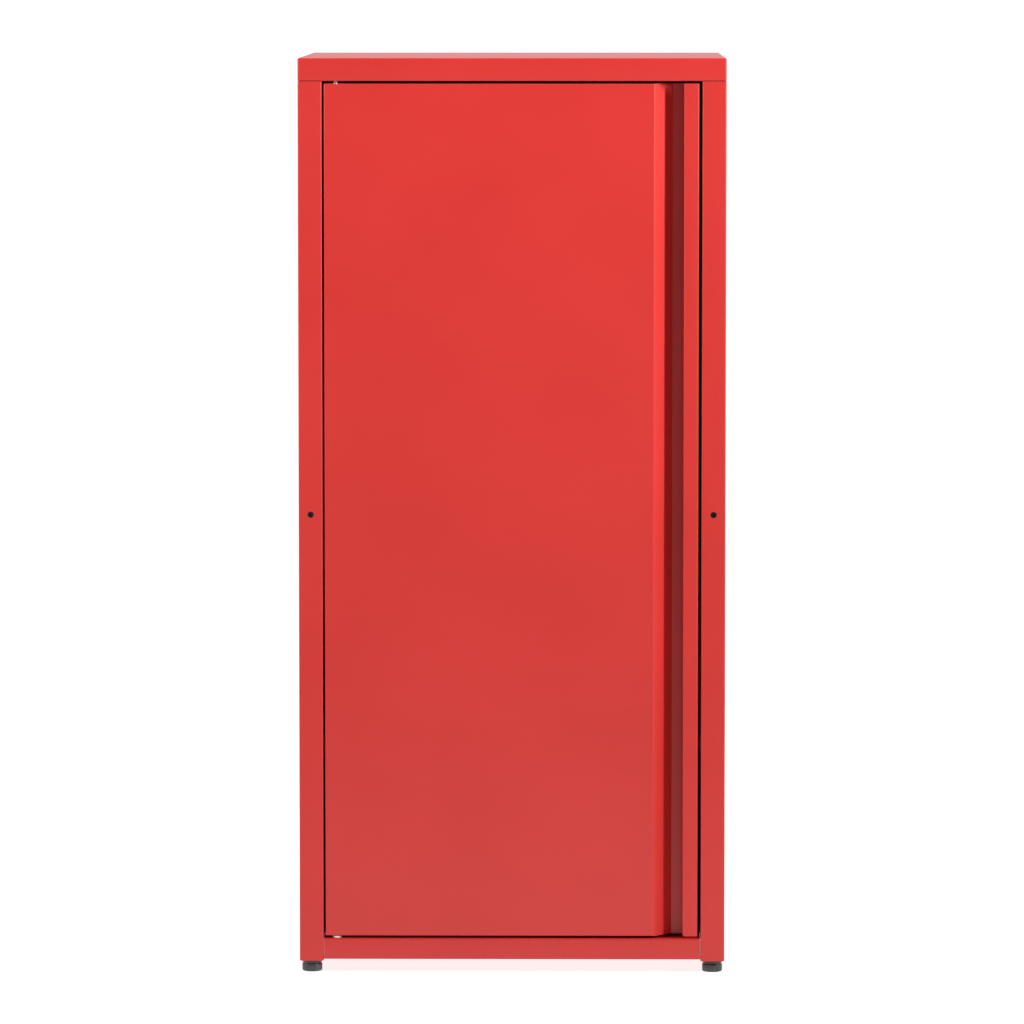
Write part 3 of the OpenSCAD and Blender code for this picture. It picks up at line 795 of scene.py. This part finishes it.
def catch():
    """Magnetic catch: a housing with a slot, the magnet and its two pole plates."""
    low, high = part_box("catch_housing")
    screws_low, screws_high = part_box("catch_screws")
    poles_low, poles_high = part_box("catch_pole_plates")
    slot = box_shape((poles_low.x - SEAM, low.y - OVER, poles_low.z - SEAM),
                     (poles_high.x + SEAM, poles_high.y, poles_high.z + SEAM))
    cuts = [slot] + [
        hole((x, middle("catch_screws").y, (low.z + high.z) / 2), SCREW_RADIUS, 2 * (high.z - low.z))
        for x in (screws_low.x + SCREW_HEAD_RADIUS, screws_high.x - SCREW_HEAD_RADIUS)
    ]
    corner = 2.5 * MM
    body = upright(rounded_rectangle(low.x, high.x, low.y, high.y, corner), low.z, high.z)
    part("catch_housing", "moulded", body, cuts=cuts, edge=0.5 * MM)

    low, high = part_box("catch_magnet")
    part("catch_magnet", "pressed", box_shape(low, high), edge=0.4 * MM)

    thick = 1.2 * MM
    corner = 0.8 * MM
    outline = rounded_rectangle(poles_low.x, poles_high.x, poles_low.y, poles_high.y, corner)
    plates = together([upright(outline, z, z + thick) for z in (poles_low.z, poles_high.z - thick)])
    part("catch_pole_plates", "pressed", plates, edge=0.25 * MM)


def door_stops():
    """Riveted angles behind the door's edges, and the bumpers on its free side."""
    low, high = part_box("door_stop_brackets")
    outline = folded([(-POST_IN + STOP_LEG, high.y), (-POST_IN, high.y), (-POST_IN, low.y)], 1,
                     STOP_SHEET, STOP_BEND)
    angles = [upright(outline, z, z + STOP_HEIGHT) for z in (low.z, high.z - STOP_HEIGHT)]
    part("door_stop_brackets", "folded", both_sides(angles), edge=0.25 * MM)

    y = middle("door_stop_rivets").y
    rivets = [
        placed(rivet(5 * MM), (-POST_IN + STOP_SHEET, y, z), (1, 0, 0))
        for z in (low.z + STOP_HEIGHT / 2, high.z - STOP_HEIGHT / 2)
    ]
    part("door_stop_rivets", "domed", both_sides(rivets), edge=0)

    low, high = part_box("door_bumpers")
    radius = (high.x - low.x) / 2
    tall = high.y - low.y
    dome = turned([
        (radius - 0.3 * MM, 0), (radius, 0.3 * MM), (0.97 * radius, 0.35 * tall),
        (0.9 * radius, 0.65 * tall), (0.76 * radius, 0.86 * tall), (0.55 * radius, 0.96 * tall),
        (0.25 * radius, tall),
    ])
    part("door_bumpers", "moulded", together([
        placed(dome, ((low.x + high.x) / 2, high.y, z), (0, -1, 0))
        for z in (low.z + radius, high.z - radius)
    ]), edge=0)


def post_hole_plugs():
    """Push-in plugs, set back a little in the front posts' holes and cupped at the front."""
    low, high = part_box("post_hole_plugs")
    z = (low.z + high.z) / 2
    flange = (high.z - low.z) / 2
    stem = flange - 1.4 * MM
    cup = stem - 0.9 * MM
    x = (HALF_WIDTH + POST_IN) / 2
    plug = turned([
        (cup - 0.4 * MM, 3 * MM), (cup, 2.6 * MM), (cup, 0.6 * MM), (cup + 0.2 * MM, 0.4 * MM),
        (stem - 0.25 * MM, 0.4 * MM), (stem, 0.65 * MM), (stem, 0.9 * MM), (flange, 0.9 * MM),
        (flange, 1.9 * MM), (stem, 2.0 * MM), (stem + 0.3 * MM, 4.6 * MM), (stem, 5.8 * MM),
        (stem - 0.4 * MM, 6.4 * MM),
    ])
    part("post_hole_plugs", "moulded", together([
        placed(plug, (side * x, FRONT, z), (0, 1, 0)) for side in (-1, 1)
    ]), edge=0)


def shelf_pegs():
    """Four pegs that stand out of the posts' inner faces, with a shallow hollow in each end."""
    low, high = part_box("shelf_pegs")
    head = (high.z - low.z) / 2
    out = 9 * MM
    stem = 8 * MM
    soft = 0.5 * MM
    peg = turned([
        (PEG_RADIUS - soft, -stem), (PEG_RADIUS, -stem + soft), (PEG_RADIUS, 0), (head - 0.2 * MM, 0),
        (head, 0.2 * MM), (head, out - soft), (head - soft, out), (head - 2 * soft, out),
        (head - 2.4 * soft, out - 0.3 * MM),
    ])
    part("shelf_pegs", "turned", together([
        placed(peg, (side * POST_IN, y, (low.z + high.z) / 2), (-side, 0, 0))
        for side in (-1, 1) for y in (low.y + head, high.y - head)
    ]), edge=0)


def spare_hinge_plugs():
    """Plugs in the unused pair of hinge holes, flush towards the door, their heads out of sight."""
    spot = middle("spare_hinge_plugs")
    head = 4 * MM
    tall = 1.7 * MM
    soft = 0.2 * MM

    def plug(radius):
        return turned([
            (radius - soft, 0), (radius, soft), (radius, SHEET), (head - soft, SHEET),
            (head, SHEET + soft), (head, tall - soft), (head - soft, tall),
        ])

    part("spare_hinge_plugs", "moulded", together([
        placed(plug(BUSH_RADIUS), (spot.x, spot.y, CAP_Z)),
        placed(plug(PIN_RADIUS), (spot.x, spot.y, FLOOR_Z), (0, 0, -1)),
    ]), edge=0)


def foot_inserts():
    """Hollowed plastic block in the lower end of each post, bored for a foot's stud."""
    low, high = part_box("foot_inserts")
    stud = middle("rear_right_foot_stud")
    gap = SHEET + SEAM
    x0, x1 = POST_IN + gap, high.x
    y0, y1 = REAR_POST_END + gap, high.y
    corner = 1 * MM
    block = upright(rounded_rectangle(x0, x1, y0, y1, corner), low.z, high.z)
    wall = 2 * MM
    roof = 3 * MM
    boss = 8 * MM
    clearance = 0.05 * MM
    deep = 40 * MM
    pocket = box_shape((x0 + wall, y0 + wall, low.z - OVER), (x1 - wall, stud.y - boss, high.z - roof))
    bore = hole((stud.x, stud.y, middle("foot_inserts").z), STUD_RADIUS + clearance, deep)
    part("foot_inserts", "moulded", at_corners(block),
         cuts=[at_corners(pocket), at_corners(bore)], edge=0.3 * MM)


def screws():
    """Screws through the top, floor and back flanges and the catch."""
    head = SCREW_HEAD_RADIUS
    rows = (
        ("top_screws", 6 * MM, (0, 0, -1)),
        ("base_screws", 8 * MM, (0, 0, 1)),
        ("catch_screws", 19 * MM, (0, 0, -1)),
    )
    for node, length, direction in rows:
        low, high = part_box(node)
        face_z = low.z + SCREW_HEAD_HEIGHT if direction[2] < 0 else high.z - SCREW_HEAD_HEIGHT
        ys = [(low.y + high.y) / 2] if node == "catch_screws" else [low.y + head, high.y - head]
        spots = [(x, y, face_z) for x in (low.x + head, high.x - head) for y in ys]
        part(node, "threaded", together([placed(screw(length), s, direction) for s in spots]), edge=0)

    low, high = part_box("back_screws")
    flange_x = POST_IN - SEAM - SHEET
    heights = [low.z + head + (high.z - low.z - 2 * head) * k for k in BACK_SCREW_ROWS]
    part("back_screws", "threaded", together([
        placed(screw(8 * MM), (side * flange_x, (low.y + high.y) / 2, z), (-side, 0, 0))
        for side in (-1, 1) for z in heights
    ]), edge=0)


# ---------------------------------------------------------------- door and shelf

def door_skin():
    """Face, edges, finger channel and hemmed lip, with turned-in flanges at both ends."""
    left, right = door_low.x, door_high.x
    back = door_high.y
    floor_y = back - SHEET
    lip_left = right - LIP_WIDTH
    channel_left = lip_left - CHANNEL_WIDTH
    slope_end = channel_left + floor_y - FRONT
    front_path = [
        (left + RIM, back), (left, back), (left, FRONT), (channel_left, FRONT), (slope_end, floor_y),
    ]
    lip_path = [
        (right - SHEET, floor_y), (right - SHEET, FRONT + SHEET), (lip_left + SHEET, FRONT + SHEET),
        (lip_left + SHEET, FRONT + SHEET + HEM_GAP), (lip_left + HEM_WIDTH, FRONT + SHEET + HEM_GAP),
    ]
    outline = folded(front_path + lip_path, 1)
    lap = 2 * MM
    pan = folded(front_path + [(slope_end + lap, floor_y)], 1)
    pan = pan[:len(pan) // 2] + [(slope_end + lap, back), (left + RIM, back)]
    joins = [upright(pan, z, z + SHEET) for z in (door_low.z, door_high.z - SHEET)]
    joins += [
        box_shape((left + RIM / 2, back - SHEET, z), (slope_end, back, z + RIM))
        for z in (door_low.z, door_high.z - RIM)
    ]
    pin = middle("upper_hinge_pin")
    deep = 3 * MM
    cuts = [
        hole((pin.x, pin.y, door_low.z), BUSH_RADIUS, deep),
        hole((pin.x, pin.y, door_high.z), PIN_RADIUS, deep),
    ]
    cuts += [
        crosswise(bend_waste(z, up), left - OVER, slope_end + OVER)
        for z, up in ((door_low.z, 1), (door_high.z, -1))
    ]
    cuts += [
        diamond(x, door_low.z, LIP_CORNER, FRONT - OVER, FRONT + 4 * MM)
        for x in (lip_left, right)
    ]
    part("door_skin", "folded", upright(outline, door_low.z, door_high.z), joins, cuts, 0.3 * MM)


def bend_waste(z, up):
    """What a bend at one end of the door's front leaves out of the square corner, in y and z."""
    arc = [
        (FRONT + BEND * (1 - math.cos(a)), z + up * BEND * (1 - math.sin(a)))
        for a in (math.pi / 2 * k / BEND_STEPS for k in range(BEND_STEPS + 1))
    ]
    outside = z - up * OVER
    return [(FRONT + BEND, outside), (FRONT - OVER, outside), (FRONT - OVER, z + up * BEND)] + arc


def door_stiffener():
    """Hat section behind the door's face."""
    low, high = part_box("door_stiffener")
    web_low, web_high = low.x + STIFFENER_FOOT, high.x - STIFFENER_FOOT
    outline = folded([
        (low.x, low.y), (web_low, low.y), (web_low, high.y - SHEET),
        (web_high, high.y - SHEET), (web_high, low.y), (high.x, low.y),
    ], 1)
    part("door_stiffener", "folded", upright(outline, low.z, high.z))


def strike():
    """Plate on the door for the magnet to hold, and its two rivets."""
    low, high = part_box("strike_plate")
    outline = rounded_rectangle(low.x, high.x, low.z, high.z, PLATE_CORNER)
    rivet_low, rivet_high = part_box("strike_rivets")
    xs = (rivet_low.x + RIVET_HEAD_RADIUS, rivet_high.x - RIVET_HEAD_RADIUS)
    z = (low.z + high.z) / 2
    plate = skin([[(x, y, w) for x, w in outline] for y in (low.y, high.y)])
    part("strike_plate", "pressed", plate,
         cuts=[hole((x, low.y, z), RIVET_RADIUS, THROUGH, (0, 1, 0)) for x in xs], edge=0.25 * MM)
    shape = rivet(SHEET + high.y - low.y)
    part("strike_rivets", "domed", together([
        placed(shape, (x, door_high.y - SHEET, z), (0, -1, 0)) for x in xs
    ]), edge=0)


def shelf():
    """Shelf with turned-down edges and lips under them."""
    low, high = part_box("shelf")
    part("shelf", "folded", rounded_tray(low, high, SHELF_SIDE_LIP, SHELF_LIP, SHELF_LIP))


# ---------------------------------------------------------------- feet

def foot(corner):
    """One glide: a pad with a flange, a groove and a rounded sole, on its threaded stud."""
    pad, stud = f"{corner}_foot_pad", f"{corner}_foot_stud"
    low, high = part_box(pad)
    radius = (high.x - low.x) / 2
    top = high.z
    spot = middle(pad)
    body = radius - 0.5 * MM
    groove = radius - 1.4 * MM
    profile = [
        (0.35 * radius, 0.25 * MM), (0.55 * radius, 0.25 * MM), (0.6 * radius, 0),
        (body - 1.5 * MM, 0), (body - 0.8 * MM, 0.22 * MM), (body - 0.3 * MM, 0.7 * MM),
        (body - 0.06 * MM, 1.3 * MM), (body, 2.0 * MM), (body, top - 4.2 * MM),
        (body - 0.1 * MM, top - 3.8 * MM), (body - 0.4 * MM, top - 3.5 * MM),
        (groove + 0.1 * MM, top - 3.4 * MM), (groove, top - 3.3 * MM), (groove, top - 2.0 * MM),
        (groove + 0.1 * MM, top - 1.9 * MM), (radius - 0.3 * MM, top - 1.75 * MM),
        (radius, top - 1.45 * MM), (radius, top - 0.35 * MM), (radius - 0.3 * MM, top),
        (STUD_RADIUS + 0.2 * MM, top), (STUD_RADIUS, top - 0.2 * MM), (STUD_RADIUS, top - 3.2 * MM),
    ]
    part(pad, "moulded", placed(turned(profile, 56), (spot.x, spot.y, 0)), edge=0, smooth_degrees=50)

    low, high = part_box(stud)
    tip = 1 * MM
    loops = [[(x, y, 0) for x, y in circle(STUD_RADIUS - 0.8 * MM, 28)]]
    loops += thread(STUD_RADIUS, 0.6 * MM, 1.25 * MM, 0.3 * MM, high.z - low.z - tip, 28, 6)
    loops.append([(x, y, high.z - low.z) for x, y in circle(STUD_RADIUS - tip, 28)])
    part(stud, "threaded", placed(skin(loops), (spot.x, spot.y, low.z)), edge=0, smooth_degrees=30)


# ---------------------------------------------------------------- stage

def floor():
    """Pale floor that glows as a light table does, so that its shadows stay faint; less far in front."""
    half = FLOOR_HALF
    made = make_object("floor", box_shape((-half, -half, -FLOOR_DEEP), (half, half, 0)))
    paint, nodes, links, shader = principled("pale_floor")
    shade = noise(nodes, links, 0.8, 2)
    body = tint(nodes, links, shade, (0.29, 0.29, 0.29), (0.31, 0.31, 0.31))
    links.new(body, shader.inputs["Base Color"])
    shader.inputs["Roughness"].default_value = 0.8
    shader.inputs["Emission Color"].default_value = (1, 1, 1, 1)
    place = nodes.new("ShaderNodeTexCoord")
    split = nodes.new("ShaderNodeSeparateXYZ")
    links.new(place.outputs["Object"], split.inputs["Vector"])
    glow = remap(nodes, links, split.outputs["Y"], GLOW_FADE_Y, (GLOW_FRONT, GLOW_REST))
    links.new(glow, shader.inputs["Emission Strength"])
    made.data.materials.append(paint)


def softbox(name, spot, target, power):
    """Tall rectangular lamp at spot, turned to target."""
    data = bpy.data.lights.new(name, "AREA")
    data.shape = "RECTANGLE"
    data.size, data.size_y = LAMP_SIZE
    data.energy = power
    data.spread = math.radians(LAMP_BEAM)
    lamp = bpy.data.objects.new(name, data)
    lamp.location = spot
    aim = Vector(target) - Vector(spot)
    lamp.rotation_euler = aim.to_track_quat("-Z", "Y").to_euler()
    bpy.context.scene.collection.objects.link(lamp)


def studio():
    """White surroundings at the sides and behind, dark ones in front, and a tall lamp on each side."""
    world = bpy.data.worlds.new("studio")
    bpy.context.scene.world = world
    world.use_nodes = True
    nodes, links = world.node_tree.nodes, world.node_tree.links
    place = nodes.new("ShaderNodeTexCoord")
    split = nodes.new("ShaderNodeSeparateXYZ")
    links.new(place.outputs["Generated"], split.inputs["Vector"])
    strength = remap(nodes, links, split.outputs["Y"], (-0.5, 0), (WORLD_FRONT, WORLD_REST))
    links.new(strength, nodes["Background"].inputs["Strength"])
    nodes["Background"].inputs["Color"].default_value = (1, 1, 1, 1)

    lamps = (("key", 1, KEY_ANGLE, KEY_POWER), ("fill", -1, FILL_ANGLE, FILL_POWER))
    for name, side, angle, power in lamps:
        aim = Vector((side * LAMP_AIM_X, FRONT, LAMP_AIM_HEIGHT * TOP_Z))
        away = math.radians(angle)
        spot = aim + LAMP_DISTANCE * Vector((side * math.sin(away), -math.cos(away), 0))
        spot.z = LAMP_HEIGHT
        softbox(name, spot, aim, power)
    bpy.context.scene.view_settings.view_transform = "Standard"
    bpy.context.scene.view_settings.look = "None"


def camera():
    """A long lens a little above the top, so that the top's surface just shows."""
    data = bpy.data.cameras.new("camera")
    made = bpy.data.objects.new("camera", data)
    bpy.context.scene.collection.objects.link(made)
    bpy.context.scene.camera = made
    target = Vector((0, FRONT, CAMERA_AIM * TOP_Z))
    made.location = (CAMERA_RIGHT, FRONT - CAMERA_DISTANCE, TOP_Z + CAMERA_ABOVE_TOP)
    aim = target - made.location
    made.rotation_euler = aim.to_track_quat("-Z", "Y").to_euler()
    data.sensor_width = SENSOR_WIDTH
    data.lens = SENSOR_WIDTH * aim.length / SEEN_WIDTH
    data.clip_start, data.clip_end = CLIP


# ---------------------------------------------------------------- making

camera()
studio()
floor()
top_panel()
side_panel("left_side_panel", False)
side_panel("right_side_panel", True)
back_panel()
base_panel()
hinge_plates()
hinge_parts()
spare_hinge_plugs()
catch()
door_stops()
post_hole_plugs()
shelf_pegs()
foot_inserts()
screws()
door_skin()
door_stiffener()
strike()
shelf()
for corner in ("front_left", "front_right", "rear_left", "rear_right"):
    foot(corner)
